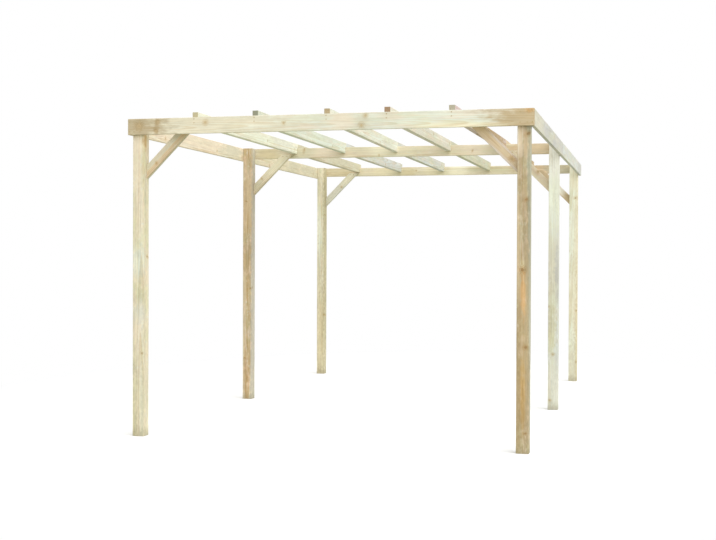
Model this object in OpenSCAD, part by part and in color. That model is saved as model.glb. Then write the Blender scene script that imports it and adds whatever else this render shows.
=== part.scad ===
// Open timber carport: three rows of two posts, each row with a crossbeam and two
// knee braces, tied by side boards and a front board, with five rafters on top.
// The origin is on the ground, midway between the sides and between front and rear.
// +X is to the right of someone who faces the front, +Y runs to the rear, +Z is up.

/* [Overall size] */
// Width over the two side boards
carport_w = 3000; // [2600:10:3600]
// Depth from the face of the front board to the back of the rear crossbeam
carport_d = 5000; // [4200:10:6000]
// Height from the ground to the tops of the rafters
carport_h = 2400; // [2100:10:2800]

/* [Posts] */
// Width of the square posts
post_w = 90; // [75:1:120]
// Chamfer along the edges of the posts
post_edge = 4; // [1:0.5:8]

/* [Crossbeams] */
// Thickness of a crossbeam, front to back
beam_t = 45; // [35:1:60]
// Height of a crossbeam
beam_h = 95; // [80:1:140]

/* [Side and front boards] */
// Thickness of the boards
board_t = 28; // [18:1:40]
// Height of the boards
board_h = 120; // [95:1:160]

/* [Rafters] */
// Thickness of a rafter
rafter_t = 45; // [35:1:60]
// Height of a rafter
rafter_h = 95; // [80:1:120]
// How far the rafters stand above the posts and boards
rafter_rise = 40; // [20:1:60]
// Distance from the outside of a side board to the even place of the nearest rafter
rafter_inset = 520; // [500:1:650]

/* [Knee braces] */
// Thickness of a brace, front to back
brace_t = 45; // [30:1:60]
// Height of a brace across its slope
brace_h = 70; // [50:1:90]
// How far a brace reaches down its post, and as far in along its crossbeam
brace_leg = 378; // [260:1:450]

/* [Small sizes] */
// Chamfer along the edges of beams, boards, rafters and braces
edge = 2.5; // [0.5:0.5:5]
// Play between a rafter's notch and the sides of the crossbeam in it
notch_play = 1; // [0.5:0.5:4]
// Gap between the top of a brace and the level of the rafters' undersides
brace_gap = 5; // [1:1:20]

/* [Hidden] */
rows = ["front", "middle", "rear"];
sides = ["left", "right"];
bays = ["front", "rear"];
rafter_count = 5;
// The rafters were laid by hand: this far to the right of its even place each one lies
// at the front, over the middle crossbeam and at the rear
rafter_lay = [
    [5, -10, -30],
    [-20, -30, -35],
    [30, -25, -35],
    [-20, -20, -5],
    [-50, -10, -15]
];
// Past the end of a piece that is cut off, so that the cut is clean
over = 10;

// Heights
post_h = carport_h - rafter_rise;
rafter_under = carport_h - rafter_h;
brace_top = rafter_under - brace_gap;

// Across the width
frame_w = carport_w - 2 * board_t;
rafter_pitch = (carport_w - 2 * rafter_inset) / (rafter_count - 1);

// From front to rear
frame_front = -carport_d / 2 + board_t;
frame_rear = carport_d / 2;
rafter_joint = (frame_front + frame_rear) / 2;
middle_beam_front = rafter_joint - beam_t / 2;
rear_beam_front = frame_rear - beam_t;
// The front faces of the crossbeams, which are the backs of the posts
beam_front = [frame_front + post_w, middle_beam_front, rear_beam_front];
side_joint = middle_beam_front - post_w / 2;

// Outline of a sawn bar w wide and h high, with its corners cut off by c
module section(w, h, c) {
    polygon([
        [c, 0], [w - c, 0], [w, c], [w, h - c],
        [w - c, h], [c, h], [0, h - c], [0, c]
    ]);
}

// A bar that runs along +X from the origin, t thick in Y and h high in Z
module bar_x(length, t, h) {
    rotate([90, 0, 90])
        linear_extrude(length)
            section(t, h, edge);
}

// A bar that runs along +Y from the origin, t thick in X and h high in Z
module bar_y(length, t, h) {
    translate([t, 0, 0])
        rotate([90, 0, 180])
            linear_extrude(length)
                section(t, h, edge);
}

// Copies what is drawn for the left side to the right side where it is asked for
module on_side(side) {
    mirror([side == "right" ? 1 : 0, 0, 0])
        children();
}

module post(row, side) {
    color("#d9cda4")
        on_side(side)
            translate([-frame_w / 2, beam_front[row] - post_w, 0])
                linear_extrude(post_h)
                    section(post_w, post_w, post_edge);
}

module crossbeam(row) {
    color("#cbbd92")
        translate([-frame_w / 2, beam_front[row], post_h - beam_h])
            bar_x(frame_w, beam_t, beam_h);
}

// A brace at 45 degrees, cut upright against its post and level at its top,
// with its back against the face of the crossbeam
module brace(row, side) {
    color("#c9a877")
        on_side(side)
            translate([-frame_w / 2 + post_w, beam_front[row] - brace_t, brace_top - brace_leg])
                intersection() {
                    rotate([0, -45, 0])
                        translate([-brace_leg, 0, 0])
                            bar_x(4 * brace_leg, brace_t, brace_h);
                    translate([0, -over, -over])
                        cube([brace_leg + over, brace_t + 2 * over, brace_leg + over]);
                }
}

module front_board() {
    color("#d8c99f")
        translate([-carport_w / 2, -carport_d / 2, post_h - board_h])
            bar_x(carport_w, board_t, board_h);
}

// The side boards meet end to end on the middle posts
module side_board(side, bay) {
    start = bay == "front" ? frame_front : side_joint;
    end = bay == "front" ? side_joint : frame_rear;
    color("#dcd9bd")
        on_side(side)
            translate([-carport_w / 2, start, post_h - board_h])
                bar_y(end - start, board_t, board_h);
}

// A rafter is notched down over the crossbeams and meets the next one end to end.
// It runs a little askew in plan, and its ends and notches are square to the carport.
module rafter(bay, i) {
    start = bay == "front" ? frame_front : rafter_joint;
    end = bay == "front" ? rafter_joint : frame_rear;
    lay_start = bay == "front" ? rafter_lay[i][0] : rafter_lay[i][1];
    lay_end = bay == "front" ? rafter_lay[i][1] : rafter_lay[i][2];
    centre = -carport_w / 2 + rafter_inset + i * rafter_pitch + lay_start;
    skew = atan2(lay_end - lay_start, end - start);
    color("#e0dcc0")
        difference() {
            intersection() {
                translate([centre, start, rafter_under])
                    rotate([0, 0, -skew])
                        translate([-rafter_t / 2, -over, 0])
                            bar_y(end - start + 2 * over, rafter_t, rafter_h);
                translate([-carport_w / 2, start, 0])
                    cube([carport_w, end - start, carport_h + over]);
            }
            for (y = beam_front)
                translate([-carport_w / 2, y - notch_play, rafter_under - over])
                    cube([carport_w, beam_t + 2 * notch_play, post_h - rafter_under + over]);
        }
}

for (r = [0:len(rows) - 1]) {
    for (side = sides) {
        post(r, side);
        brace(r, side);
    }
    crossbeam(r);
}
front_board();
for (bay = bays) {
    for (side = sides)
        side_board(side, bay);
    for (i = [0:rafter_count - 1])
        rafter(bay, i);
}
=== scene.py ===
"""Dresses an open timber carport: six posts, three crossbeams with knee braces, boards and rafters.

Every timber is one mesh cut from its own log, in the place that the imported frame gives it.
"""

import math
import random
from typing import NamedTuple, Sequence

import bmesh
import bpy
from bpy.props import FloatProperty, FloatVectorProperty, IntProperty, PointerProperty
from mathutils import Euler, Matrix, Vector, noise


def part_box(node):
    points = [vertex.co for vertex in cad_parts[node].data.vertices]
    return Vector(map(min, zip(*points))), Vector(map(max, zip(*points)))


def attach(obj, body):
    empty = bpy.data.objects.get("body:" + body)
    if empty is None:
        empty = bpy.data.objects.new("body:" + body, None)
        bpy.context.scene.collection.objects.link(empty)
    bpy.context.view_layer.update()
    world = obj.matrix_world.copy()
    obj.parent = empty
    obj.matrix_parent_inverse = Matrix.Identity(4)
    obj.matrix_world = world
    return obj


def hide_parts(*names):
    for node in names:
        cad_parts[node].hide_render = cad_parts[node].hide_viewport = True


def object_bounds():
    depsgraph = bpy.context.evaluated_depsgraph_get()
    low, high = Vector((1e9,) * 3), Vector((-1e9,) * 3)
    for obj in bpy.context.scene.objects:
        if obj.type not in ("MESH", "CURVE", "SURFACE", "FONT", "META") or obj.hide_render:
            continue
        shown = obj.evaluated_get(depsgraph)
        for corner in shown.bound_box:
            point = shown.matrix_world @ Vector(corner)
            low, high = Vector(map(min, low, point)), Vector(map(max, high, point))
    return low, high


bl_info = {
    "name": "Open timber carport",
    "version": (1, 0, 0),
    "blender": (4, 5, 0),
    "location": "3D View > Sidebar > Carport",
    "description": "Builds the timbers, screws, floor and light of an open carport",
    "category": "Add Mesh",
}

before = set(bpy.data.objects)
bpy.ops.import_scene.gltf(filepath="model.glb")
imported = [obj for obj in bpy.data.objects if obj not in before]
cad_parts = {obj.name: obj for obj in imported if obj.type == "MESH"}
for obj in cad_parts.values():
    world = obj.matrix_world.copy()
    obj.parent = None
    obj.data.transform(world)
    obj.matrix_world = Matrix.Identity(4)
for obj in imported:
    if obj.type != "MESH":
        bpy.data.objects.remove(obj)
CAD_BOX = [list(corner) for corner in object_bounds()]

ROWS = ("front", "middle", "rear")
SIDES = ("left", "right")
BAYS = ("front", "rear")
BODY = "root"
X, Y, Z = Vector((1, 0, 0)), Vector((0, 1, 0)), Vector((0, 0, 1))


def linear(code):
    """Linear red, green, blue and alpha of a colour written as #rrggbb."""
    parts = [int(code[i:i + 2], 16) / 255 for i in (1, 3, 5)]
    return [c / 12.92 if c <= 0.04045 else ((c + 0.055) / 1.055) ** 2.4 for c in parts] + [1.0]


def add_object(name, data):
    """A new object in the scene, at the origin."""
    made = bpy.data.objects.new(name, data)
    bpy.context.scene.collection.objects.link(made)
    return made


def finished_mesh(piece):
    """A new mesh of an object as its modifiers leave it."""
    return bpy.data.meshes.new_from_object(piece.evaluated_get(bpy.context.evaluated_depsgraph_get()))


# ------------------------------------------------------------------ settings

class TimberSettings(bpy.types.PropertyGroup):
    """Sizes and colours that all the timbers share."""
    skin: FloatProperty(
        name="Planed off", description="How far the sawn face lies inside its nominal size",
        default=0.0005, min=0, max=0.002, unit="LENGTH")
    ripple: FloatProperty(
        name="Ripple", description="Depth of the unevenness that planing leaves",
        default=0.0007, min=0, max=0.003, unit="LENGTH")
    arris: FloatProperty(
        name="Arris", description="Radius of the eased edges", default=0.0035, min=0.001, max=0.006,
        unit="LENGTH")
    station: FloatProperty(
        name="Station", description="Distance between the cross sections along a timber",
        default=0.03, min=0.01, max=0.1, unit="LENGTH")
    grid: FloatProperty(
        name="Grid", description="Distance between the points across a face",
        default=0.011, min=0.004, max=0.03, unit="LENGTH")
    ring: FloatProperty(
        name="Growth ring", description="Distance between two growth rings",
        default=0.0046, min=0.001, max=0.01, unit="LENGTH")
    crack_width: FloatProperty(
        name="Crack width", description="Width of the widest drying cracks",
        default=0.0024, min=0, max=0.005, unit="LENGTH")
    crack_depth: FloatProperty(
        name="Crack depth", description="Depth of the deepest drying cracks",
        default=0.009, min=0, max=0.02, unit="LENGTH")
    mottle: FloatProperty(
        name="Mottling", description="How unevenly light the faces are", default=0.30, min=0, max=1)
    green: FloatVectorProperty(
        name="Preservative", description="Tint that the preservative leaves in the sapwood",
        default=linear("#d2d5b0")[:3], subtype="COLOR", min=0, max=1)
    pink: FloatVectorProperty(
        name="Pink wood", description="Tint of the pinkish streaks",
        default=linear("#ecd8c4")[:3], subtype="COLOR", min=0, max=1)
    bloom: FloatVectorProperty(
        name="Bloom", description="Tint of the salts that have dried on the surface",
        default=linear("#e6eae2")[:3], subtype="COLOR", min=0, max=1)
    late: FloatVectorProperty(
        name="Late wood", description="Tint of the dark side of each growth ring",
        default=linear("#dcc29a")[:3], subtype="COLOR", min=0, max=1)
    resin: FloatVectorProperty(
        name="Resin", description="Tint of the resinous wood around knots",
        default=linear("#e4d2b3")[:3], subtype="COLOR", min=0, max=1)
    damp: FloatVectorProperty(
        name="Damp", description="Colour that splashes and damp leave at the feet of the posts",
        default=linear("#9a9070")[:3], subtype="COLOR", min=0, max=1)


class ScrewSettings(bpy.types.PropertyGroup):
    """Sizes of the countersunk star drive screws."""
    head: FloatProperty(
        name="Head", description="Width of a screw head", default=0.0092, min=0.004, max=0.02,
        unit="LENGTH")
    cone: FloatProperty(
        name="Cone", description="Height of the cone under the head", default=0.0046,
        min=0.002, max=0.01, unit="LENGTH")
    star: FloatProperty(
        name="Star", description="Width of the star drive over its points", default=0.0051,
        min=0.002, max=0.01, unit="LENGTH")
    drive: FloatProperty(
        name="Drive depth", description="Depth of the star drive", default=0.0022,
        min=0.001, max=0.004, unit="LENGTH")
    sink: FloatProperty(
        name="Sink", description="How far a head is driven below the timber's nominal face",
        default=0.0015, min=0.0005, max=0.005, unit="LENGTH")
    seed: IntProperty(
        name="Seed", description="Picks how far each screw is turned", default=7, min=0)


class StageSettings(bpy.types.PropertyGroup):
    """Floor, light and camera."""
    floor: FloatVectorProperty(
        name="Floor", description="Colour of the floor", default=(0.93, 0.93, 0.93),
        subtype="COLOR", min=0, max=1)
    bounce: FloatVectorProperty(
        name="Bounce", description="Colour of the light that the floor throws back up",
        default=(0.43, 0.44, 0.335), subtype="COLOR", min=0, max=1)
    sky: FloatProperty(
        name="Sky", description="Strength of the even light from all around", default=0.92, min=0, max=3)
    lamp: FloatProperty(
        name="Lamp", description="Strength of the soft lamp", default=1.9, min=0, max=10)
    lamp_from: FloatVectorProperty(
        name="Lamp from", description="Direction that the lamp's light comes from",
        default=(0.62, -0.46, 0.70), subtype="DIRECTION")
    lamp_size: FloatProperty(
        name="Lamp size", description="Angle that the lamp fills", default=math.radians(75),
        min=0, max=math.pi, subtype="ANGLE")
    eye: FloatVectorProperty(
        name="Eye", description="Where the camera stands", default=(2.315, -10.433, 1.345),
        subtype="TRANSLATION", unit="LENGTH")
    turn: FloatVectorProperty(
        name="Turn", description="Pitch, roll and heading of the camera",
        default=(math.radians(89.34), math.radians(0.23), math.radians(14.46)), subtype="EULER")
    lens: FloatProperty(
        name="Lens", description="Focal length on a 36 mm sensor", default=58.4, min=20, max=200)


# -------------------------------------------------------------- node graphs

class Value:
    """An output of a node. A sum written with it adds Math nodes to its graph."""

    def __init__(self, graph, socket):
        self.graph = graph
        self.socket = socket

    def math(self, operation, *terms):
        return self.graph.node("ShaderNodeMath", {"operation": operation}, dict(enumerate(terms)))

    def __add__(self, other):
        return self.math("ADD", self, other)

    __radd__ = __add__

    def __sub__(self, other):
        return self.math("SUBTRACT", self, other)

    def __rsub__(self, other):
        return self.math("SUBTRACT", other, self)

    def __mul__(self, other):
        return self.math("MULTIPLY", self, other)

    __rmul__ = __mul__

    def __truediv__(self, other):
        return self.math("DIVIDE", self, other)

    def sine(self):
        return self.math("SINE", self)

    def around_zero(self, reach):
        """Noise that runs from 0 to 1, moved so that it runs from minus reach to reach."""
        return (self - 0.5) * (2 * reach)

    def rise(self, low, high, top=1.0):
        """Goes smoothly from 0 at low to top at high."""
        sockets = {"Value": self, "From Min": low, "From Max": high, "To Max": top}
        return self.graph.node("ShaderNodeMapRange", {"interpolation_type": "SMOOTHSTEP"}, sockets)


class Graph:
    """A node tree that is built up from nothing."""

    def __init__(self, tree):
        self.tree = tree
        tree.nodes.clear()

    def node(self, kind, settings=None, sockets=None, out=0):
        """Adds a node, with its settings first and then its sockets, and gives one output."""
        made = self.tree.nodes.new(kind)
        for key, value in (settings or {}).items():
            setattr(made, key, value)
        for key, value in (sockets or {}).items():
            if isinstance(value, Value):
                self.tree.links.new(value.socket, made.inputs[key])
            else:
                made.inputs[key].default_value = value
        return Value(self, made.outputs[out]) if made.outputs else None

    def vector(self, operation, *terms, out=0, **named):
        sockets = dict(enumerate(terms)) | named
        return self.node("ShaderNodeVectorMath", {"operation": operation}, sockets, out)

    def mix(self, factor, first, second, blend="MIX"):
        """Mixes two colours."""
        settings = {"data_type": "RGBA", "blend_type": blend}
        return self.node("ShaderNodeMix", settings, {0: factor, 6: first, 7: second}, 2)

    def noise(self, point, across, along, detail=2.0, rough=0.5, out=0):
        """Noise from 0 to 1, with so many grains per metre across and along the third axis."""
        spread = self.vector("MULTIPLY", point, (across, across, along))
        sockets = {"Vector": spread, "Scale": 1.0, "Detail": detail, "Roughness": rough}
        return self.node("ShaderNodeTexNoise", None, sockets, out)


def new_material(name):
    """A material with nothing in it, its graph, and the place that is being coloured."""
    material = bpy.data.materials.new(name)
    material.use_nodes = True
    graph = Graph(material.node_tree)
    return material, graph, graph.node("ShaderNodeTexCoord", out="Object")


# ------------------------------------------------------------------- timbers

class Knot(NamedTuple):
    """Where a branch comes out of a timber's show face, from the middle of its low end."""
    along: float
    aside: float
    radius: float


class StainOrPaintedLight(NamedTuple):
    """A patch of another tone on a timber's show face. Most are stains in the wood; some are painted
    light, paler where the timber lies in shade.

    It reaches that far along the timber and spreads that far to the sides. behind is how far
    its centre lies behind the face, and deep is how far it goes into a post, where that isn't
    as far as it spreads.
    """
    along: float
    aside: float
    reach: float
    spread: float
    tone: str
    strength: float
    behind: float = 0.0
    deep: float = 0.0


def band(along, reach, tone, strength, spread=0.09):
    """A patch that covers the show face from side to side; some are painted light."""
    return StainOrPaintedLight(along, 0.0, reach, spread, tone, strength)


def right_side(tone, strength):
    """A patch of tone down the whole of a post's right side, with its centre just outside the wood."""
    return StainOrPaintedLight(
        along=1.20, aside=0.055, reach=2.50, spread=0.024, tone=tone, strength=strength,
        behind=0.045, deep=0.2)


class Log(NamedTuple):
    """How the tree grew that a timber was sawn from, and what its tones are.

    pith is where the tree's centre lies, across the section from the timber's own centre, and
    heart is the radius of the darker heartwood around it. green, pink and bloom say how much of
    each tint there is, contrast how dark the growth rings' late wood is, and uneven how much the
    wood's lightness varies.
    """
    sap: str
    heart_tone: str = ""
    end: str = "sand"
    knot: str = "hide"
    heart: float = 0.0
    pith: tuple = ()
    green: float = 0.3
    pink: float = 0.3
    bloom: float = 0.2
    contrast: float = 0.4
    uneven: float = 1.0
    knots: Sequence[Knot] = ()
    stains_and_painted_light: Sequence[StainOrPaintedLight] = ()


# The wood's tones, from the palest to the darkest
TONES = {
    "chalk": "#fcfcf4", "ivory": "#fcf8e0", "butter": "#f8f0d0", "shell": "#f4e8d4",
    "frost": "#f0f4e4", "mist": "#e8ece0", "pearl": "#e4e4d8", "dew": "#e0e8dc",
    "cream": "#e8e0c8", "linen": "#dcd8c4", "flax": "#d8d4bc", "lichen": "#d0d4c0",
    "silver": "#d4d8d4", "ash": "#c8c8c4", "mauve": "#d8c8c8", "blush": "#e0d4c8",
    "oat": "#e0d4bc", "straw": "#dcd0ac", "rush": "#d0ccac", "biscuit": "#dcc8a8",
    "apricot": "#e8c08c", "honey": "#d0b078", "clay": "#c8a880", "sand": "#ccb894",
    "moss": "#c4bc98", "tan": "#c0b090", "sage": "#b8b8a4", "hide": "#b8a480",
    "bark": "#b49c74", "drab": "#a08c68", "umber": "#a08064", "nut": "#987850",
    "slate": "#889080",
}
# The dark side of the growth rings on a sawn end
END_GRAIN = "#8f7146"

LOGS = {
    "post_front_left": Log(
        "cream", pith=(0.03, 0.034), green=0.6, pink=0.3, bloom=0.5, knot="drab",
        knots=[Knot(0.62, 0.03, 0.005)],
        stains_and_painted_light=[StainOrPaintedLight(0.72, 0.00, 0.20, 0.040, "shell", 0.7),
                StainOrPaintedLight(0.22, 0.00, 0.25, 0.030, "oat", 0.6),
                StainOrPaintedLight(1.30, 0.00, 0.13, 0.060, "dew", 0.65),
                StainOrPaintedLight(0.92, 0.01, 0.09, 0.060, "pearl", 0.65),
                StainOrPaintedLight(0.15, -0.045, 0.50, 0.032, "rush", 0.85),
                StainOrPaintedLight(0.30, 0.035, 0.50, 0.022, "flax", 0.8),
                StainOrPaintedLight(1.85, 0.00, 0.25, 0.030, "shell", 0.6),
                # Painted light: a paler top of the post, where the boards above shade it
                StainOrPaintedLight(2.22, -0.01, 0.16, 0.050, "shell", 0.8),
                StainOrPaintedLight(2.20, 0.045, 0.08, 0.030, "honey", 0.8, 0.025)]),
    "post_front_right": Log(
        "sage", "tan", pith=(-0.001, -0.016), heart=0.046, green=0.25, pink=0.5, bloom=0.25,
        contrast=0.5, knot="nut",
        knots=[Knot(2.19, 0.035, 0.009), Knot(1.74, 0.02, 0.007), Knot(1.26, -0.005, 0.011),
               Knot(0.73, 0.02, 0.008), Knot(0.14, 0.02, 0.005)],
        stains_and_painted_light=[StainOrPaintedLight(0.60, 0.00, 0.65, 0.050, "bark", 0.65),
                StainOrPaintedLight(1.75, 0.00, 0.20, 0.040, "hide", 0.6),
                StainOrPaintedLight(1.25, 0.035, 0.45, 0.016, "tan", 0.7),
                StainOrPaintedLight(0.45, -0.04, 0.65, 0.020, "hide", 0.85),
                StainOrPaintedLight(0.55, 0.03, 0.65, 0.018, "tan", 0.8),
                StainOrPaintedLight(1.38, -0.035, 0.40, 0.018, "biscuit", 0.6),
                StainOrPaintedLight(2.12, 0.02, 0.10, 0.030, "biscuit", 0.8),
                StainOrPaintedLight(0.42, 0.00, 0.26, 0.020, "honey", 0.8),
                StainOrPaintedLight(1.10, 0.00, 0.17, 0.020, "apricot", 0.8),
                # Painted light: a paler top of the post, where the boards above shade it
                StainOrPaintedLight(2.14, -0.03, 0.12, 0.030, "shell", 0.85),
                StainOrPaintedLight(1.79, 0.035, 0.05, 0.016, "oat", 0.5),
                StainOrPaintedLight(1.30, -0.005, 0.035, 0.018, "straw", 0.85),
                StainOrPaintedLight(0.79, 0.00, 0.03, 0.020, "biscuit", 0.5),
                right_side("sage", 0.8)]),
    "post_middle_left": Log(
        "linen", "sand", pith=(0.010, -0.068), heart=0.054, green=0.35, pink=0.8, bloom=0.5,
        contrast=0.7, knot="nut",
        stains_and_painted_light=[StainOrPaintedLight(0.80, -0.03, 0.50, 0.020, "oat", 0.7),
                StainOrPaintedLight(0.20, -0.01, 0.28, 0.040, "clay", 0.5),
                StainOrPaintedLight(1.90, 0.00, 0.35, 0.060, "biscuit", 0.8),
                StainOrPaintedLight(1.35, 0.00, 0.20, 0.040, "hide", 0.6),
                StainOrPaintedLight(1.32, -0.035, 0.12, 0.020, "sand", 0.7),
                right_side("ash", 0.7)]),
    "post_middle_right": Log(
        "silver", pith=(-0.02, 0.05), green=0.5, pink=0.2, bloom=0.4, contrast=0.2, uneven=0.85,
        knot="hide",
        knots=[Knot(0.91, -0.045, 0.007), Knot(0.49, 0.00, 0.007), Knot(0.085, -0.025, 0.007)],
        stains_and_painted_light=[StainOrPaintedLight(1.25, 0.00, 0.35, 0.060, "linen", 0.8),
                band(0.20, 0.25, "pearl", 0.8),
                band(1.95, 0.50, "frost", 0.8),
                # Painted light: a near-white top of the post, where the side board and rafters shade it
                band(2.20, 0.20, "chalk", 0.9),
                StainOrPaintedLight(0.72, -0.01, 0.25, 0.040, "rush", 0.75),
                StainOrPaintedLight(1.25, 0.04, 0.26, 0.028, "ash", 0.9)]),
    "post_rear_left": Log(
        "cream", pith=(0.02, 0.06), green=0.5, pink=0.15, bloom=0.4, contrast=0.3, knot="drab",
        knots=[Knot(0.68, 0.04, 0.007)],
        stains_and_painted_light=[StainOrPaintedLight(0.40, 0.01, 0.70, 0.070, "straw", 0.8),
                StainOrPaintedLight(1.60, -0.03, 0.35, 0.040, "frost", 0.8),
                StainOrPaintedLight(1.00, -0.04, 1.10, 0.016, "cream", 0.7),
                right_side("moss", 0.85)]),
    "post_rear_right": Log(
        "frost", pith=(-0.03, 0.07), green=0.45, pink=0.2, bloom=0.25, contrast=0.25, uneven=0.55,
        knot="drab",
        knots=[Knot(1.99, 0.02, 0.008), Knot(0.77, 0.04, 0.006), Knot(0.21, 0.04, 0.006)],
        stains_and_painted_light=[band(0.95, 0.40, "cream", 0.6),
                StainOrPaintedLight(0.70, 0.035, 0.30, 0.030, "oat", 0.6),
                StainOrPaintedLight(1.60, 0.035, 0.70, 0.026, "cream", 0.7),
                band(0.05, 0.42, "linen", 0.9),
                # Painted light: an ivory top of the post, where the side board and rafters shade it
                band(2.22, 0.16, "ivory", 0.9),
                right_side("straw", 0.85)]),
    "crossbeam_front": Log("cream"),
    "crossbeam_middle": Log(
        "cream", green=0.35, pink=0.35, bloom=0.3,
        stains_and_painted_light=[band(2.72, 0.28, "biscuit", 0.8),
                band(0.22, 0.14, "straw", 0.8),
                band(0.50, 0.20, "flax", 0.7),
                band(0.78, 0.12, "shell", 0.7),
                band(1.33, 0.16, "ivory", 0.9),
                band(2.16, 0.14, "shell", 0.8)]),
    "crossbeam_rear": Log(
        "cream", green=0.45, pink=0.25,
        stains_and_painted_light=[band(2.55, 0.35, "biscuit", 0.7),
                band(0.23, 0.20, "straw", 0.8),
                band(0.77, 0.16, "butter", 0.7),
                band(1.05, 0.13, "straw", 0.8),
                band(1.33, 0.12, "butter", 0.7),
                band(1.61, 0.14, "ivory", 0.8),
                band(2.74, 0.20, "sage", 0.7)]),
    "front_board": Log(
        "mist", pith=(0.07, -0.012), green=0.35, pink=0.45, bloom=0.3, contrast=0.3, knot="sand",
        knots=[Knot(0.09, 0.005, 0.015), Knot(0.24, 0.03, 0.008), Knot(0.225, -0.035, 0.007),
               Knot(0.615, 0.02, 0.009), Knot(1.215, 0.00, 0.007), Knot(1.82, 0.04, 0.008),
               Knot(1.79, -0.03, 0.009), Knot(2.97, 0.05, 0.007)],
        stains_and_painted_light=[band(0.55, 0.85, "cream", 0.75, 0.20),
                band(0.03, 0.30, "tan", 0.85, 0.20),
                band(0.23, 0.02, "hide", 0.6),
                band(1.64, 0.12, "shell", 0.8),
                band(1.80, 0.06, "linen", 0.6, 0.08),
                StainOrPaintedLight(2.33, -0.01, 0.06, 0.03, "pearl", 0.7),
                band(2.97, 0.32, "sand", 0.95, 0.20),
                StainOrPaintedLight(2.97, 0.045, 0.04, 0.02, "apricot", 0.6),
                StainOrPaintedLight(2.45, -0.05, 0.35, 0.04, "butter", 0.6)]),
    "side_board_left_front": Log(
        "shell", green=0.2, pink=0.4, stains_and_painted_light=[band(2.10, 0.35, "linen", 0.9)]),
    "side_board_left_rear": Log(
        "cream", green=0.35, pink=0.35,
        stains_and_painted_light=[band(1.52, 0.22, "flax", 0.8), band(2.10, 0.35, "flax", 0.8)]),
    "side_board_right_front": Log(
        "ash", green=0.35, pink=0.15, bloom=0.5, contrast=0.2,
        stains_and_painted_light=[band(0.25, 0.40, "linen", 0.8)]),
    "side_board_right_rear": Log(
        "silver", green=0.35, pink=0.25, bloom=0.5, contrast=0.2,
        stains_and_painted_light=[band(2.25, 0.35, "ash", 0.8)]),
    "brace_front_left": Log(
        "linen", "biscuit", pith=(-0.035, -0.02), heart=0.035, green=0.2, pink=0.3),
    "brace_front_right": Log(
        "blush", "biscuit", pith=(0.010, 0.01), heart=0.03, green=0.1, pink=0.6,
        knots=[Knot(0.10, 0.005, 0.009)], stains_and_painted_light=[band(0.43, 0.14, "biscuit", 0.8, 0.06)]),
    "brace_middle_left": Log(
        "oat", green=0.3, pink=0.25,
        # The ivory band at 0.34 is painted light: a paler upper part, where the rafter shades the brace
        stains_and_painted_light=[band(0.08, 0.10, "flax", 0.7, 0.06), band(0.34, 0.18, "ivory", 0.8, 0.06)]),
    "brace_middle_right": Log(
        "cream", "oat", pith=(0.010, 0.01), heart=0.03, green=0.1, pink=0.5,
        knots=[Knot(0.20, 0.028, 0.007)]),
    "brace_rear_left": Log(
        "pearl", green=0.3, pink=0.2, stains_and_painted_light=[band(0.43, 0.14, "ivory", 0.8, 0.06)]),
    "brace_rear_right": Log(
        "blush", green=0.2, pink=0.3,
        stains_and_painted_light=[band(0.06, 0.12, "sand", 0.9, 0.06), band(0.23, 0.12, "chalk", 0.95, 0.06),
                band(0.43, 0.12, "sand", 0.85, 0.06)]),
    "rafter_front_1": Log("frost", end="moss", stains_and_painted_light=[band(2.05, 0.35, "pearl", 0.7)]),
    "rafter_front_2": Log("dew", end="slate", green=0.4),
    "rafter_front_3": Log("mist", end="hide", pink=0.5),
    "rafter_front_4": Log("pearl", end="umber", pink=0.4),
    "rafter_front_5": Log("mauve", end="sage", stains_and_painted_light=[StainOrPaintedLight(1.70, 0.0, 0.95, 0.12, "bark", 0.9)]),
    "rafter_rear_1": Log("flax", green=0.25),
    "rafter_rear_2": Log("silver", green=0.4),
    "rafter_rear_3": Log("silver", green=0.5),
    "rafter_rear_4": Log("lichen", green=0.5),
    "rafter_rear_5": Log(
        "biscuit", "sand", heart=0.03, green=0.3,
        stains_and_painted_light=[band(0.65, 0.40, "butter", 0.9), band(2.05, 0.50, "bark", 0.9)]),
}


def tone(name):
    """A tone of the wood, as linear red, green, blue and alpha."""
    return linear(TONES[name])


# Across the section, the faces of a bar in turn: outward, and the way round
FACES = (
    (Vector((1, 0)), Vector((0, 1))),
    (Vector((0, 1)), Vector((-1, 0))),
    (Vector((-1, 0)), Vector((0, -1))),
    (Vector((0, -1)), Vector((1, 0))),
)
ARC_STEPS = 3
CORNER_ROOM = 0.0065
END_BEVEL = 0.0014
# How much an edge's rounding varies, as a share of its radius, and how often per metre
WEAR = 0.55
WEAR_PITCH = 5
# How many ripples per metre planing leaves, across and along
RIPPLES_ACROSS = 30
RIPPLES_ALONG = 6
# Random seeds are drawn from 0 up to this
SEED_RANGE = 50
# Points on one plane of a CAD node agree to this
TOLERANCE = 0.0005


class Timber:
    """A straight bar in its place: a centre line from its low end, and half its width both ways.

    place takes (across, up, along) to the carport's own axes. start and end give how far along
    the bar is cut off at a point of its section. cracks is how many drying cracks a face has,
    and crack_size how wide and deep they are, as a share of the largest ones.
    """

    def __init__(self, node, slot, place, half, start, end, cracks=1, crack_size=0.6):
        self.node = node
        self.slot = slot
        self.place = place
        self.half = half
        self.start = start
        self.end = end
        self.length = end(0, 0) - start(0, 0)
        self.log = LOGS[node]
        self.random = random.Random(node)
        self.cracks = cracks
        self.crack_size = crack_size

    @property
    def name(self):
        return self.node + "_wood"

    def on_show(self, aside, behind=0.0):
        """Across and up, of a point on the face that shows from the front right, or behind it."""
        if self.slot == "post":
            return aside, behind - self.half.y
        front = 1 if self.slot == "brace" and self.node.endswith("right") else -1
        return front * (self.half.x - behind), aside


def axes(along, up, origin):
    """Places a bar's own axes, with the third along it and the second up its section."""
    across = up.cross(along)
    place = Matrix((across, up, along)).transposed().to_4x4()
    place.translation = origin
    return place


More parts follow.
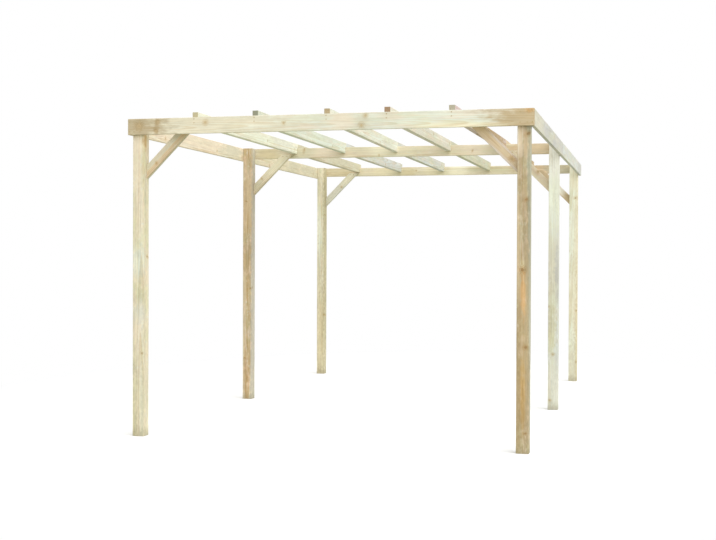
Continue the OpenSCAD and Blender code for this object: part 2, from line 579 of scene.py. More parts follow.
def straight(node, slot, along, up, **cracks):
    """A timber that fills its node's box."""
    low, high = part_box(node)
    across = up.cross(along)
    middle = (low + high) / 2
    size = high - low
    length = abs(size.dot(along))
    half = Vector((abs(size.dot(across)) / 2, abs(size.dot(up)) / 2))
    place = axes(along, up, middle - along * length / 2)
    return Timber(node, slot, place, half, lambda u, v: 0.0, lambda u, v: length, **cracks)


def rafter_line(node):
    """The two ends of a rafter's centre line, which runs a little askew in plan."""
    low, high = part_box(node)
    ends = []
    for y in (low.y, high.y):
        reach = [v.co.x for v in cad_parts[node].data.vertices if abs(v.co.y - y) < TOLERANCE]
        ends.append(Vector(((min(reach) + max(reach)) / 2, y, (low.z + high.z) / 2)))
    return ends


def on_rafter(node, y):
    """The point of a rafter's centre line that is that far back."""
    front, back = rafter_line(node)
    return front.lerp(back, (y - front.y) / (back.y - front.y))


def askew(node):
    """A rafter, with its ends cut off square to the carport."""
    low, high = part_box(node)
    front, back = rafter_line(node)
    along = (back - front).normalized()
    place = axes(along, Z, front)
    slant = Z.cross(along).y / along.y
    reach = (back - front).length
    thick = (high.x - low.x - abs(back.x - front.x)) * along.y
    half = Vector((thick / 2, (high.z - low.z) / 2))
    return Timber(
        node, "rafter", place, half,
        lambda u, v: -slant * u, lambda u, v: reach - slant * u, crack_size=0.5)


def sloping(node, inward):
    """A brace at 45 degrees, cut upright against its post and level at its top."""
    low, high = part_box(node)
    foot = Vector((low.x if inward > 0 else high.x, (low.y + high.y) / 2, low.z))
    along = (X * inward + Z).normalized()
    up = (Z - X * inward).normalized()
    height = max((v.co - foot).dot(up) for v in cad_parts[node].data.vertices)
    leg = high.z - low.z
    half = Vector(((high.y - low.y) / 2, height / 2))
    place = axes(along, up, foot + up * half.y)
    return Timber(
        node, "brace", place, half,
        lambda u, v: v + half.y, lambda u, v: leg * math.sqrt(2) - v - half.y, crack_size=0.4)


def clamp(x):
    return min(max(x, 0.0), 1.0)


def swell(x, low, high, soft):
    """1 between low and high, falling to 0 over soft beyond them."""
    share = clamp(min(x - low, high - x) / soft + 1)
    return share * share * (3 - 2 * share)


class Crack:
    """A drying crack along one face, with its place across the face as a share of the lanes."""
    LENGTHS = (0.08, 0.28)     # as shares of the timber's length
    WIDTHS = (0.35, 1.0)       # as shares of the widest
    DEPTHS = (0.5, 1.0)        # as shares of the deepest
    CLOSED = 0.08              # share of its width between the lips where it is closed
    TAPER = 0.1                # length over which it narrows to nothing at an end
    CLOSING = 0.08             # length over which the lanes come together before an end
    KNOT_ROOM = 0.05           # how far from a knot it ends

    def __init__(self, timber, widest, deepest, lane):
        rng = timber.random
        self.lane = lane
        reach = rng.uniform(*self.LENGTHS) * timber.length
        middle = rng.uniform(-0.02, 1.02) * timber.length
        self.low = middle - reach / 2
        self.high = middle + reach / 2
        for knot in timber.log.knots:
            self.keep_off(knot.along - self.KNOT_ROOM, knot.along + self.KNOT_ROOM)
        self.width = widest * rng.uniform(*self.WIDTHS)
        self.depth = deepest * rng.uniform(*self.DEPTHS)
        self.seed = Vector((rng.uniform(0, SEED_RANGE), rng.uniform(0, SEED_RANGE), 0))

    def keep_off(self, low, high):
        """Ends the crack before or after a knot, wherever more of it is left."""
        if self.low < high and low < self.high:
            if low - self.low > self.high - high:
                self.high = low
            else:
                self.low = high

    def unsteady(self, along, pitch, row=(0, 0)):
        """Noise from -1 to 1 along the crack, with that many ups and downs per metre."""
        return noise.noise(self.seed + Vector((*row, along * pitch)))

    def at(self, along):
        """How far the lips have closed in, and how open and deep the crack is there."""
        lips = swell(along, self.low, self.high, self.CLOSING)
        gape = clamp((along - self.low) / self.TAPER) * clamp((self.high - along) / self.TAPER)
        return lips, gape * clamp(0.6 + 0.9 * self.unsteady(along, 9))

    def wander(self, along):
        """How far the crack strays sideways: slowly, and in small jags."""
        return 0.008 * self.unsteady(along, 1.6, (0, 9)) + 0.0016 * self.unsteady(along, 17, (9, 0))


def face_points(timber, settings, face, cracks, along, shrink):
    """The points across one face of a section, from one corner's rounding to the next.

    The points lie in lanes that run the length of the face. At a crack, three lanes come
    together as its lips and its bottom.
    """
    outward, way = FACES[face]
    half_out = abs(outward.dot(timber.half)) - shrink
    half_way = abs(way.dot(timber.half)) - CORNER_ROOM
    steps = max(2, round(2 * half_way / settings.grid))
    half_way -= shrink
    crack = min(cracks, key=lambda nearby: max(nearby.low - along, along - nearby.high))
    lane = 2 + round(crack.lane * (steps - 4))
    for i in range(steps + 1):
        sideways = half_way * (2 * i / steps - 1)
        depth = 0.0
        if steps >= 4 and abs(i - lane) <= 1:
            lips, gape = crack.at(along)
            centre = half_way * (2 * lane / steps - 1)
            lip = (i - lane) * crack.width * (crack.CLOSED + gape) / 2
            sideways += (centre + crack.wander(along) * lips + lip - sideways) * lips
            depth = crack.depth * gape if i == lane else 0.0
        yield outward * half_out + way * sideways, outward, depth


def corner_points(timber, settings, face, along, shrink):
    """The rounding between a face and the next one."""
    outward, way = FACES[face]
    worn = noise.noise(Vector((face * 7.3, along * WEAR_PITCH, timber.length * 31)))
    radius = settings.arris * (1 + WEAR * worn)
    centre = (outward * (abs(outward.dot(timber.half)) - shrink - radius)
              + way * (abs(way.dot(timber.half)) - shrink - radius))
    for i in range(ARC_STEPS + 1):
        angle = math.pi / 2 * i / ARC_STEPS
        out = outward * math.cos(angle) + way * math.sin(angle)
        yield centre + out * radius, out, 0.0


def section(timber, settings, cracks, share, shrink):
    """One closed cross section, as points in the carport's axes."""
    along = timber.start(0, 0) + share * timber.length
    for face in range(len(FACES)):
        points = list(face_points(timber, settings, face, cracks[face], along, shrink))
        points += list(corner_points(timber, settings, face, along, shrink))
        for flat, out, depth in points:
            ripples = Vector((*(flat * RIPPLES_ACROSS), along * RIPPLES_ALONG + timber.length * 17))
            wave = settings.ripple * (0.5 + 0.5 * noise.noise(ripples))
            u, v = flat - out * (settings.skin + wave + depth)
            start, end = timber.start(u, v), timber.end(u, v)
            inset = settings.skin + (END_BEVEL if shrink == 0 else 0)
            w = start + inset + (end - start - 2 * inset) * share
            yield timber.place @ Vector((u, v, w))


def timber_mesh(timber, settings):
    """The bar's skin: rings of points along it, and a cap at each end."""
    widest = settings.crack_width * timber.crack_size
    deepest = settings.crack_depth * timber.crack_size
    cracks = []
    for _ in FACES:
        lane = timber.random.random()
        cracks.append([Crack(timber, widest, deepest, lane) for _ in range(timber.cracks)])
    steps = round(timber.length / settings.station)
    rings = [(0.0, END_BEVEL)] + [(i / steps, 0.0) for i in range(steps + 1)] + [(1.0, END_BEVEL)]
    points = []
    for share, shrink in rings:
        points += section(timber, settings, cracks, share, shrink)
    count = len(points) // len(rings)
    last = len(points) - count
    faces = [range(count - 1, -1, -1), range(last, last + count)]
    for ring in range(len(rings) - 1):
        for i in range(count):
            here, there = ring * count, (ring + 1) * count
            following = (i + 1) % count
            faces.append([here + i, here + following, there + following, there + i])
    mesh = bpy.data.meshes.new(timber.name)
    mesh.from_pydata(points, [], faces)
    mesh.validate()
    return mesh


# ------------------------------------------------------------------- screws

class Screw(NamedTuple):
    """Where a screw enters a timber, and the way out of the wood there."""
    node: str
    point: Vector
    out: Vector


# Half the spacing of the screws in a joint: across and up
BOARD_JOINT = (0.024, 0.036)
BEAM_JOINT = (0.024, 0.027)
NARROW_BOARD_JOINT = (0, BOARD_JOINT[1])
RAFTER_JOINT = (0, 0.014)
BRACE_FOOT_JOINT = 0.011
BRACE_TOP_JOINT = 0.014
# How far a brace's screws are from its foot and from its top, along its centre line
BRACE_FOOT = 0.06
BRACE_TOP = 0.028
# Below the first, two timbers lap too little for a screw, and below the second for two
LEAST_LAP = 0.02
WIDE_LAP = 0.06


def pattern(centre, first, second, reach_first, reach_second):
    """Four points around a centre, or two where one reach is 0."""
    for a in ((-1, 1) if reach_first else (0,)):
        for b in ((-1, 1) if reach_second else (0,)):
            yield centre + first * (a * reach_first) + second * (b * reach_second)


def middle_of(node):
    low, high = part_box(node)
    return (low + high) / 2


def board_screws():
    """Through the front board into posts, rafters and side boards, and through the side boards."""
    low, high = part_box("front_board")
    level = (low.z + high.z) / 2
    made = []
    for side in SIDES:
        at = Vector((middle_of("post_front_" + side).x, low.y, level))
        made += [Screw("front_board", p, -Y) for p in pattern(at, X, Z, *BOARD_JOINT)]
        at.x = middle_of(f"side_board_{side}_front").x
        made += [Screw("front_board", p, -Y) for p in pattern(at, X, Z, *NARROW_BOARD_JOINT)]
    for i in range(1, 6):
        rafter = f"rafter_front_{i}"
        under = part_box(rafter)[0].z
        at = Vector((on_rafter(rafter, high.y).x, low.y, (under + high.z) / 2))
        made += [Screw("front_board", p, -Y) for p in pattern(at, X, Z, *RAFTER_JOINT)]
    for side in SIDES:
        out = X if side == "right" else -X
        for bay in BAYS:
            node = f"side_board_{side}_{bay}"
            board_low, board_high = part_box(node)
            face = board_high.x if side == "right" else board_low.x
            for row in ROWS:
                post_low, post_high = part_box(f"post_{row}_{side}")
                start, end = max(post_low.y, board_low.y), min(post_high.y, board_high.y)
                if end - start > LEAST_LAP:
                    at = Vector((face, (start + end) / 2, level))
                    joint = BOARD_JOINT if end - start > WIDE_LAP else NARROW_BOARD_JOINT
                    made += [Screw(node, p, out) for p in pattern(at, Y, Z, *joint)]
    return made


def beam_screws():
    """Through the backs of the crossbeams into the posts, and down through the rafters."""
    made = []
    for row in ROWS:
        node = "crossbeam_" + row
        low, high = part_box(node)
        for side in SIDES:
            at = Vector((middle_of(f"post_{row}_{side}").x, high.y, (low.z + high.z) / 2))
            made += [Screw(node, p, Y) for p in pattern(at, X, Z, *BEAM_JOINT)]
        for bay in BAYS:
            for i in range(1, 6):
                rafter = f"rafter_{bay}_{i}"
                rafter_low, rafter_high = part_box(rafter)
                start, end = max(low.y, rafter_low.y), min(high.y, rafter_high.y)
                if end - start > LEAST_LAP:
                    at = on_rafter(rafter, (start + end) / 2)
                    at.z = rafter_high.z
                    made.append(Screw(rafter, at, Z))
    return made


def brace_screws(braces):
    """Up through a brace's underside into its post, and from its face into the crossbeam."""
    made = []
    for brace in braces:
        place = brace.place
        side = place.to_3x3()
        under = -(side @ Y)
        for across in (-BRACE_FOOT_JOINT, BRACE_FOOT_JOINT):
            at = place @ Vector((across, -brace.half.y, BRACE_FOOT))
            made.append(Screw(brace.node, at, under))
        front = side @ X
        front *= -1 if front.y > 0 else 1
        reach = brace.half.x if (side @ X).y < 0 else -brace.half.x
        top = brace.end(0, 0) - BRACE_TOP
        for shift in (-BRACE_TOP_JOINT, BRACE_TOP_JOINT):
            made.append(Screw(brace.node, place @ Vector((reach, shift, top - shift)), front))
    return made


def box_cutter(bm, low, high):
    """Adds a box to a cutter."""
    size = high - low
    matrix = Matrix.Translation((low + high) / 2) @ Matrix.Diagonal((*size, 1))
    bmesh.ops.create_cube(bm, size=1, matrix=matrix)


def pit_cutter(bm, screw, settings):
    """Adds the pit that a screw head has pressed into the wood to a cutter.

    It is a little wider than the head at the wood's face, and a little narrower at its bottom,
    where the head's cone goes on into the wood.
    """
    turn = screw.out.to_track_quat("Z", "Y").to_matrix().to_4x4()
    rim = settings.head * 0.54
    bottom = settings.head * 0.46
    deep = settings.sink + settings.cone * 0.4
    above = 0.002
    slope = (rim - bottom) / deep
    matrix = Matrix.Translation(screw.point) @ turn @ Matrix.Translation((0, 0, (above - deep) / 2))
    bmesh.ops.create_cone(
        bm, cap_ends=True, segments=16, radius1=bottom, radius2=rim + slope * above,
        depth=above + deep, matrix=matrix)


def rafter_notches(bm, timber):
    """The notches where a rafter sits down over the crossbeams."""
    low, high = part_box(timber.node)
    play = 0.001
    room = 0.02
    for row in ROWS:
        beam_low, beam_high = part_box("crossbeam_" + row)
        if beam_high.y > low.y and beam_low.y < high.y:
            box_cutter(
                bm, Vector((low.x - room, beam_low.y - play, low.z - room)),
                Vector((high.x + room, beam_high.y + play, beam_high.z)))


def cut(mesh, bm):
    """Gives the mesh with the cutter taken out of it."""
    tool_mesh = bpy.data.meshes.new("cutter")
    bm.to_mesh(tool_mesh)
    tool = add_object("cutter", tool_mesh)
    work = add_object("work", mesh)
    modifier = work.modifiers.new("cut", "BOOLEAN")
    modifier.operation = "DIFFERENCE"
    modifier.solver = "MANIFOLD"
    modifier.object = tool
    made = finished_mesh(work)
    for used in (tool, work):
        bpy.data.objects.remove(used)
    bpy.data.meshes.remove(mesh)
    bpy.data.meshes.remove(tool_mesh)
    return made


def show(name, mesh, materials, slot, replaced=()):
    """Makes a finished piece: its object, smooth but for its sharp edges, riding on the body."""
    mesh.name = name
    mesh.materials.clear()
    for material in materials:
        mesh.materials.append(material)
    mesh.shade_smooth()
    mesh.set_sharp_from_angle(angle=math.radians(32))
    piece = add_object(name, mesh)
    if replaced:
        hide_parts(*replaced)
    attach(piece, BODY)
    return piece


# ---------------------------------------------------------------- materials

class Grain:
    """A log's own axes, with the third along its pith, as a turn and a move of the carport's.

    The pith leans a little against the timber, and lies to one side of its centre unless the
    log says where.
    """
    LEAN = 0.012
    OUT = (0.03, 0.08)
    UP = 0.04

    def __init__(self, timber):
        rng = random.Random(timber.node + " grain")
        lean = Euler([rng.uniform(-self.LEAN, self.LEAN) for _ in range(2)] + [0]).to_matrix()
        pith = timber.log.pith
        if not pith:
            pith = (rng.choice((-1, 1)) * rng.uniform(*self.OUT), rng.uniform(-self.UP, self.UP))
        self.timber = timber
        self.turn = lean @ timber.place.to_3x3().transposed()
        centre = timber.place @ Vector((0, 0, timber.length / 2))
        own = Vector((-pith[0], -pith[1], rng.uniform(0, SEED_RANGE)))
        self.move = own - self.turn @ centre

    def at(self, along, across, up):
        """A place in the timber, in the log's axes."""
        return self.turn @ (self.timber.place @ Vector((across, up, along))) + self.move


def all_knots(timber):
    """Along, across, up and radius of the knots that the log names, and of small ones between."""
    most, clear, margin = 6, 0.3, 0.05
    rng = random.Random(timber.node + " knots")
    named = [knot.along for knot in timber.log.knots]
    found = [(knot.along, *timber.on_show(knot.aside), knot.radius) for knot in timber.log.knots]
    along = rng.uniform(0.1, 0.9)
    while not found or (along < timber.length - margin and len(found) < most):
        if all(abs(along - other) > clear for other in named):
            across = timber.half.x * rng.choice((-1, 1))
            up = timber.half.y * rng.uniform(-0.8, 0.8)
            found.append((along, across, up, rng.uniform(0.003, 0.007)))
        along += rng.uniform(0.6, 1.2)
    return found


def knot_field(graph, point, grain, timber):
    """Distance to the nearest branch, as a share of that branch's radius.

    A branch is a straight line out from the pith, and climbs that much for its reach.
    """
    climb = 0.25
    nearest = None
    for along, across, up, branch in all_knots(timber):
        tip = grain.at(along, across, up)
        root = Vector((0, 0, tip.z - climb * math.hypot(tip.x, tip.y)))
        apart = graph.vector("SUBTRACT", point, root)
        away = graph.vector("CROSS_PRODUCT", apart, (tip - root).normalized())
        distance = graph.vector("LENGTH", away, out=1) / branch
        nearest = distance if nearest is None else nearest.math("MINIMUM", nearest, distance)
    return nearest


def end_field(graph, point, timber):
    """1 on the two sawn ends of the timber, and 0 where it is deeper in than end grain shows."""
    begins, full = -0.0022, -0.0010
    mask = None
    for cut_at, facing in ((timber.start, -1), (timber.end, 1)):
        corners = [Vector((u, v, cut_at(u, v))) for u, v in ((0, 0), (0.01, 0), (0, 0.01))]
        a, b, c = [timber.place @ p for p in corners]
        normal = (b - a).cross(c - a).normalized() * facing
        distance = graph.vector("DOT_PRODUCT", point, normal, out=1) - a.dot(normal)
        here = distance.rise(begins, full)
        mask = here if mask is None else mask.math("MAXIMUM", mask, here)
    return mask


def growth_rings(graph, bent, near_knot, settings):
    """Distance from the pith, and 1 in the dark late wood of each year's ring."""
    radius = graph.vector("LENGTH", graph.vector("MULTIPLY", bent, (1, 1, 0)), out=1)
    season = graph.node(
        "ShaderNodeTexNoise", {"noise_dimensions": "1D"}, {"W": radius * 70, "Scale": 1.0, "Detail": 1.0})
    rings = radius / settings.ring + season.around_zero(1.2) + near_knot * near_knot * 2
    share = rings.math("FRACT", rings)
    return radius, share.rise(0.25, 0.88) * share.rise(1.0, 0.93)


def lay_stains_and_painted_light(graph, colour, point, grain, timber, ragged):
    """Lays the log's own patches over a colour, with ragged edges: stains, and painted light where some
    make a shaded place paler.
    """
    for mark in timber.log.stains_and_painted_light:
        centre = grain.at(mark.along, *timber.on_show(mark.aside, mark.behind))
        apart = graph.vector("SUBTRACT", point, centre)
        size = (1 / mark.spread, 1 / (mark.deep or mark.spread), 1 / mark.reach)
        away = graph.vector("LENGTH", graph.vector("MULTIPLY", apart, size), out=1)
        share = (away + ragged.around_zero(0.9)).rise(1.3, 0.35, mark.strength)
        colour = graph.mix(share, colour, tone(mark.tone))
    return colour


def wood(timber, settings):
    """Solid pine: growth rings around the pith, knots, fibres, tints of the preservative."""
    log = timber.log
    sawn_rough = timber.slot == "post"
    material, graph, place = new_material(timber.name)
    grain = Grain(timber)
    point = graph.node(
        "ShaderNodeMapping", {"vector_type": "POINT"},
        {"Vector": place, "Location": grain.move, "Rotation": grain.turn.to_euler("XYZ")})

    # The unevenness that the rest is made from. A sawn face is blotchier than a planed one.
    blotchy = 2.4 if sawn_rough else 1.0
    drift = graph.noise(point, 5, 0.9, 2, out=1)
    bent = graph.vector("MULTIPLY_ADD", drift, (0.016, 0.016, 0.0), point)
    ragged = graph.noise(point, 60, 24, 2)
    fibres = graph.noise(point, 520, 7, 3, 0.6)
    streaks = graph.noise(point, 95, 0.9, 3, 0.6)
    clouds = graph.noise(point, 11, 1.6, 3, 0.6)
    blots = graph.noise(point, 38 * blotchy ** 0.5, 11 * blotchy, 4, 0.6)

    knot = knot_field(graph, point, grain, timber) + ragged.around_zero(0.25)
    near_knot = knot.rise(4.0, 0.8)
    inside_knot = knot.rise(1.06, 0.94)
    radius, late = growth_rings(graph, bent, near_knot, settings)

    # Sapwood and heartwood, then what the preservative, dried salts and stains leave on them, and painted
    # light where some patches make a shaded place paler
    colour = tone(log.sap)
    if log.heart_tone:
        heart = (radius + clouds.around_zero(0.012)).rise(log.heart + 0.004, log.heart - 0.006)
        colour = graph.mix(heart, colour, tone(log.heart_tone))
    for tint, across, along, low, high, amount in (
            (settings.green, 15, 2.2, 0.42, 0.66, log.green),
            (settings.pink, 26, 3.5, 0.46, 0.66, log.pink),
            (settings.bloom, 44, 15, 0.54, 0.72, log.bloom)):
        patch = graph.noise(point, across, along * blotchy, 3, 0.55).rise(low, high, amount)
        colour = graph.mix(patch, colour, (*tint, 1.0))
    colour = lay_stains_and_painted_light(graph, colour, point, grain, timber, blots)

    # Late wood is darker, and the lightness varies in streaks, fibres and blotches
    autumn = graph.mix(1.0, colour, (*settings.late, 1.0), "MULTIPLY")
    colour = graph.mix(late * log.contrast * (0.5 + streaks), colour, autumn)
    streaky = log.uneven * (0.22 if sawn_rough else 0.16)
    mottled = log.uneven * settings.mottle * (0.9 if sawn_rough else 0.5)
    shade = (1 + streaks.around_zero(streaky) + fibres.around_zero(0.10)
             + (clouds + blots - 0.5).around_zero(mottled))
    colour = graph.vector("SCALE", colour, Scale=shade)

    # A knot has fine rings and a dark rim, in resinous wood
    resinous = graph.mix(1.0, colour, (*settings.resin, 1.0), "MULTIPLY")
    colour = graph.mix(near_knot * 0.6, colour, resinous)
    eye = 0.55 + (knot * 19).sine() * 0.12 + knot.rise(0.55, 1.0, 0.4)
    knot_colour = graph.mix(eye, resinous, tone(log.knot))
    colour = graph.mix(inside_knot * 0.85, colour, knot_colour)

    sawn = end_field(graph, place, timber)
    end_colour = graph.mix(late * 0.5, tone(log.end), linear(END_GRAIN))
    colour = graph.mix(sawn * 0.9, colour, end_colour)

    if sawn_rough:
        height = graph.vector("DOT_PRODUCT", place, tuple(Z), out=1)
        damp = (height + blots.around_zero(0.06)).rise(0.09, 0.0, 0.4)
        colour = graph.mix(damp, colour, (*settings.damp, 1.0))

    roughness = 0.62 + fibres * 0.22 - late * 0.08 + sawn * 0.1
    relief = fibres * 0.00035 + late * 0.00022 + ragged * inside_knot * 0.0006
    bump = graph.node(
        "ShaderNodeBump", None, {"Strength": 0.7, "Distance": 1.0, "Height": relief})
    surface = graph.node(
        "ShaderNodeBsdfPrincipled", None,
        {"Base Color": colour, "Roughness": roughness, "Normal": bump, "IOR": 1.45,
         "Specular IOR Level": 0.25})
    graph.node("ShaderNodeOutputMaterial", None, {"Surface": surface})
    return material


def zinc():
    """Yellow zinc plating, dulled where it was scraped or got damp."""
    material, graph, point = new_material("zinc")
    dull = graph.noise(point, 500, 500, 3, 0.6).rise(0.42, 0.66)
    colour = graph.mix(dull, linear("#cdbb8b"), linear("#a39066"))
    surface = graph.node(
        "ShaderNodeBsdfPrincipled", None,
        {"Base Color": colour, "Roughness": 0.36 + dull * 0.2, "Metallic": 0.9 - dull * 0.3})
    graph.node("ShaderNodeOutputMaterial", None, {"Surface": surface})
    return material


# ----------------------------------------------------------- screws by nodes

def screw_tree(material):
    """A node group that stands a countersunk star drive head on each point of a mesh."""
    tree = bpy.data.node_groups.new("star drive screws", "GeometryNodeTree")
    graph = Graph(tree)
    face = tree.interface
    face.new_socket("Points", in_out="INPUT", socket_type="NodeSocketGeometry")
    for name in ("Head", "Cone", "Star", "Drive", "Sink"):
        face.new_socket(name, in_out="INPUT", socket_type="NodeSocketFloat")
    face.new_socket("Seed", in_out="INPUT", socket_type="NodeSocketInt")
    face.new_socket("Screws", in_out="OUTPUT", socket_type="NodeSocketGeometry")
    given = tree.nodes.new("NodeGroupInput")
    inputs = {socket.name: Value(graph, socket) for socket in given.outputs if socket.name}

    def up(height):
        return graph.node("ShaderNodeCombineXYZ", None, {"Z": height})

    def moved(geometry, selection, offset):
        return graph.node(
            "GeometryNodeSetPosition", None,
            {"Geometry": geometry, "Selection": selection, "Offset": offset})

    def pulled(geometry, selection, radius):
        """Brings the chosen ring of points to a circle of that radius."""
        position = graph.node("GeometryNodeInputPosition")
        flat = graph.vector("MULTIPLY", position, (1, 1, 0))
        level = graph.vector("MULTIPLY", position, (0, 0, 1))
        unit = graph.vector("NORMALIZE", flat)
        scaled = graph.vector("SCALE", unit, Scale=radius)
        return graph.node(
            "GeometryNodeSetPosition", None,
            {"Geometry": geometry, "Selection": selection,
             "Position": graph.vector("ADD", scaled, level)})

    def drawn(geometry, selection, offset):
        """Draws a wall up or down from the chosen edges."""
        sockets = {"Mesh": geometry, "Offset": up(offset), "Offset Scale": 1.0}
        if selection is not None:
            sockets["Selection"] = selection
        walls = graph.node("GeometryNodeExtrudeMesh", {"mode": "EDGES"}, sockets)
        return walls, Value(graph, walls.socket.node.outputs["Top"])

    star = graph.node(
        "GeometryNodeCurveStar", None,
        {"Points": 6, "Inner Radius": inputs["Star"] * 0.36, "Outer Radius": inputs["Star"] * 0.5})
    star = graph.node("GeometryNodeSubdivideCurve", None, {0: star, "Cuts": 1})
    floor = graph.node("GeometryNodeFillCurve", {"mode": "NGONS"}, {0: star})
    floor = moved(floor, True, up(inputs["Drive"] * -1))
    head, rim = drawn(floor, None, inputs["Drive"])
    head, rim = drawn(head, rim, 0.0)
    head = pulled(head, rim, inputs["Head"] * 0.5)
    head, rim = drawn(head, rim, inputs["Cone"] * -0.12)
    head, rim = drawn(head, rim, inputs["Cone"] * -0.88)
    head = pulled(head, rim, inputs["Head"] * 0.24)
    head, rim = drawn(head, rim, inputs["Cone"] * -0.9)
    head = pulled(head, rim, 0.0)
    head = graph.node("GeometryNodeMergeByDistance", None, {"Geometry": head, "Distance": 0.00002})
    head = moved(head, True, up(inputs["Sink"] * -1))

    facing = graph.node("GeometryNodeInputNamedAttribute", {"data_type": "FLOAT_VECTOR"}, {"Name": "out"})
    upright = graph.node(
        "FunctionNodeAlignRotationToVector", {"axis": "Z"}, {"Vector": facing})
    spin = graph.node(
        "FunctionNodeRandomValue", {"data_type": "FLOAT"},
        {2: 0.0, 3: math.tau, "Seed": inputs["Seed"]}, 1)
    spun = graph.node(
        "FunctionNodeRotateRotation", {"rotation_space": "LOCAL"},
        {"Rotation": upright, "Rotate By": graph.node(
            "FunctionNodeAxisAngleToRotation", None, {"Axis": (0, 0, 1), "Angle": spin})})
    placed = graph.node(
        "GeometryNodeInstanceOnPoints", None,
        {"Points": inputs["Points"], "Instance": head, "Rotation": spun})
    whole = graph.node("GeometryNodeRealizeInstances", None, {0: placed})
    whole = graph.node("GeometryNodeSetMaterial", None, {"Geometry": whole, "Material": material})
    graph.node("NodeGroupOutput", None, {0: whole})
    return tree


def screw_mesh(name, screws, settings, material):
    """The screws of one group, as a plain mesh."""
    mesh = bpy.data.meshes.new(name)
    mesh.from_pydata([s.point for s in screws], [], [])
    out = mesh.attributes.new("out", "FLOAT_VECTOR", "POINT")
    out.data.foreach_set("vector", [c for s in screws for c in s.out])
    work = add_object("work", mesh)
    modifier = work.modifiers.new("screws", "NODES")
    modifier.node_group = screw_tree(material)
    wanted = {
        "Head": settings.head, "Cone": settings.cone, "Star": settings.star,
        "Drive": settings.drive, "Sink": settings.sink, "Seed": settings.seed}
    for socket in modifier.node_group.interface.items_tree:
        if socket.in_out == "INPUT" and socket.name in wanted:
            modifier[socket.identifier] = wanted[socket.name]
    made = finished_mesh(work)
    work.modifiers.clear()
    bpy.data.objects.remove(work)
    bpy.data.meshes.remove(mesh)
    bm = bmesh.new()
    bm.from_mesh(made)
    bmesh.ops.recalc_face_normals(bm, faces=bm.faces)
    bm.to_mesh(made)
    bm.free()
    return made


# ---------------------------------------------------------------- operators

def all_braces():
    return [sloping(f"brace_{row}_{side}", 1 if side == "left" else -1) for row in ROWS for side in SIDES]


def all_screws():
    return {"boards": board_screws(), "beams": beam_screws(), "braces": brace_screws(all_braces())}


def build(context, timbers):
    """Makes each timber's piece, with its notches and the pits of its screws."""
    settings = context.scene.carport_timber
    screw_settings = context.scene.carport_screws
    screws = [s for group in all_screws().values() for s in group]
    for timber in timbers:
        mesh = timber_mesh(timber, settings)
        cutter = bmesh.new()
        if timber.slot == "rafter":
            rafter_notches(cutter, timber)
        for screw in screws:
            if screw.node == timber.node:
                pit_cutter(cutter, screw, screw_settings)
        if cutter.faces:
            mesh = cut(mesh, cutter)
        cutter.free()
        if not mesh.polygons:
            raise RuntimeError(f"{timber.name} came out empty")
        show(timber.name, mesh, [wood(timber, settings)], timber.slot, [timber.node])


class CARPORT_OT_posts(bpy.types.Operator):
    """Make the six posts"""
    bl_idname = "carport.posts"
    bl_label = "Posts"

    def execute(self, context):
        nodes = [f"post_{row}_{side}" for row in ROWS for side in SIDES]
        build(context, [straight(node, "post", Z, Y, cracks=2, crack_size=1.0) for node in nodes])
        return {"FINISHED"}


class CARPORT_OT_crossbeams(bpy.types.Operator):
    """Make the crossbeams that join the posts of each row"""
    bl_idname = "carport.crossbeams"
    bl_label = "Crossbeams"

    def execute(self, context):
        build(context, [straight("crossbeam_" + row, "crossbeam", X, Z) for row in ROWS])
        return {"FINISHED"}


class CARPORT_OT_braces(bpy.types.Operator):
    """Make the knee braces between posts and crossbeams"""
    bl_idname = "carport.braces"
    bl_label = "Knee braces"

    def execute(self, context):
        build(context, all_braces())
        return {"FINISHED"}


class CARPORT_OT_boards(bpy.types.Operator):
    """Make the front board and the side boards"""
    bl_idname = "carport.boards"
    bl_label = "Boards"

    def execute(self, context):
        nodes = [f"side_board_{side}_{bay}" for side in SIDES for bay in BAYS]
        boards = [straight(node, "board", Y, Z, crack_size=0.5) for node in nodes]
        boards.append(straight("front_board", "board", X, Z, crack_size=0.5))
        build(context, boards)
        return {"FINISHED"}


class CARPORT_OT_rafters(bpy.types.Operator):
    """Make the rafters, notched over the crossbeams"""
    bl_idname = "carport.rafters"
    bl_label = "Rafters"

    def execute(self, context):
        build(context, [askew(f"rafter_{bay}_{i}") for bay in BAYS for i in range(1, 6)])
        return {"FINISHED"}


class CARPORT_OT_screws(bpy.types.Operator):
    """Drive the screws that hold the timbers together"""
    bl_idname = "carport.screws"
    bl_label = "Screws"

    def execute(self, context):
        material = zinc()
        for name, screws in all_screws().items():
            mesh = screw_mesh(name + "_screws", screws, context.scene.carport_screws, material)
            if not mesh.polygons:
                raise RuntimeError(f"the {name} screws came out empty")
            show(name + "_screws", mesh, [material], "screw")
        return {"FINISHED"}


class CARPORT_OT_stage(bpy.types.Operator):
    """Set the floor, the light and the camera"""
    bl_idname = "carport.stage"
    bl_label = "Stage"

    def execute(self, context):
        settings = context.scene.carport_stage
        make_floor(settings)
        make_world(context, settings)
        make_lamp(settings)
        make_camera(context, settings)
        context.scene.view_settings.view_transform = "Standard"
        return {"FINISHED"}


def shows_background(graph):
    """1 on rays from the camera, off metal and through glass, which see the background as white."""
    outputs = graph.node("ShaderNodeLightPath").socket.node.outputs
    rays = ("Is Camera Ray", "Is Glossy Ray", "Is Transmission Ray")
    camera, glossy, through = (Value(graph, outputs[name]) for name in rays)
    return camera + glossy + through


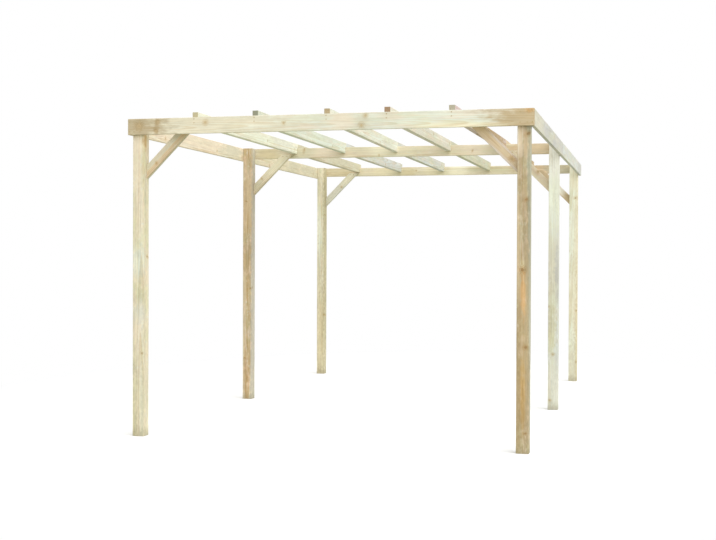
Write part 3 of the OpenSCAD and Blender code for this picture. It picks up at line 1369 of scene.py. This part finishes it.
def make_floor(settings):
    """A pale floor that fades into the background around the carport."""
    level = CAD_BOX[0][2]
    reach = 40.0
    fade_from, fade_to = 2.4, 4.2
    mesh = bpy.data.meshes.new("floor")
    corners = [(reach * x, reach * y, level) for x, y in ((-1, -1), (1, -1), (1, 1), (-1, 1))]
    mesh.from_pydata(corners, [], [range(4)])
    material, graph, point = new_material("floor")
    away = graph.vector("LENGTH", graph.vector("MULTIPLY", point, (1, 0.7, 0)), out=1)
    below = graph.node("ShaderNodeNewGeometry", out="Backfacing")
    clear = graph.node("ShaderNodeBsdfTransparent")
    lit = graph.node("ShaderNodeBsdfDiffuse", None, {"Color": (*settings.floor, 1)})
    dim = graph.node("ShaderNodeBsdfDiffuse", None, {"Color": (*settings.bounce, 1)})
    white = graph.node("ShaderNodeEmission", None, {"Color": (1, 1, 1, 1), "Strength": 1.0})
    seen = graph.node("ShaderNodeMixShader", None, {0: away.rise(fade_from, fade_to), 1: lit, 2: white})
    surface = graph.node("ShaderNodeMixShader", None, {0: shows_background(graph), 1: dim, 2: seen})
    surface = graph.node("ShaderNodeMixShader", None, {0: below, 1: surface, 2: clear})
    graph.node("ShaderNodeOutputMaterial", None, {"Surface": surface})
    mesh.materials.append(material)
    add_object("floor", mesh)


def make_world(context, settings):
    """Even light from all around, which the camera sees as white."""
    world = bpy.data.worlds.new("sky")
    world.use_nodes = True
    graph = Graph(world.node_tree)
    light = graph.node("ShaderNodeBackground", None, {"Color": (1, 1, 1, 1), "Strength": settings.sky})
    white = graph.node("ShaderNodeBackground", None, {"Color": (1, 1, 1, 1), "Strength": 1.0})
    surface = graph.node("ShaderNodeMixShader", None, {0: shows_background(graph), 1: light, 2: white})
    graph.node("ShaderNodeOutputWorld", None, {"Surface": surface})
    context.scene.world = world


def make_lamp(settings):
    """One large soft lamp, high on the front right."""
    light = bpy.data.lights.new("lamp", "SUN")
    light.energy = settings.lamp
    light.angle = settings.lamp_size
    lamp = add_object("lamp", light)
    lamp.rotation_euler = Vector(settings.lamp_from).to_track_quat("Z", "Y").to_euler()


def make_camera(context, settings):
    """Stands in front of the carport, a little to its right, at a person's chest height."""
    data = bpy.data.cameras.new("camera")
    data.sensor_width = 36
    data.lens = settings.lens
    data.clip_end = 200
    camera = add_object("camera", data)
    pitch, roll, heading = settings.turn
    turn = Euler((pitch, 0, heading)).to_matrix() @ Matrix.Rotation(roll, 3, "Z")
    camera.matrix_world = Matrix.Translation(settings.eye) @ turn.to_4x4()
    context.scene.camera = camera


class CARPORT_PT_panel(bpy.types.Panel):
    """The steps of building the carport, in order"""
    bl_label = "Carport"
    bl_idname = "CARPORT_PT_panel"
    bl_space_type = "VIEW_3D"
    bl_region_type = "UI"
    bl_category = "Carport"

    def draw(self, context):
        for operator in OPERATORS:
            self.layout.operator(operator.bl_idname)
        for group in ("carport_timber", "carport_screws", "carport_stage"):
            settings = getattr(context.scene, group)
            for name in settings.__annotations__:
                self.layout.prop(settings, name)


OPERATORS = (
    CARPORT_OT_posts, CARPORT_OT_crossbeams, CARPORT_OT_braces, CARPORT_OT_boards,
    CARPORT_OT_rafters, CARPORT_OT_screws, CARPORT_OT_stage,
)
CLASSES = (TimberSettings, ScrewSettings, StageSettings, *OPERATORS, CARPORT_PT_panel)


def register():
    for each in CLASSES:
        bpy.utils.register_class(each)
    bpy.types.Scene.carport_timber = PointerProperty(type=TimberSettings)
    bpy.types.Scene.carport_screws = PointerProperty(type=ScrewSettings)
    bpy.types.Scene.carport_stage = PointerProperty(type=StageSettings)


def unregister():
    for group in ("carport_timber", "carport_screws", "carport_stage"):
        delattr(bpy.types.Scene, group)
    for each in reversed(CLASSES):
        bpy.utils.unregister_class(each)


def main():
    register()
    for operator in OPERATORS:
        group, name = operator.bl_idname.split(".")
        getattr(getattr(bpy.ops, group), name)()


if __name__ == "__main__":
    main()
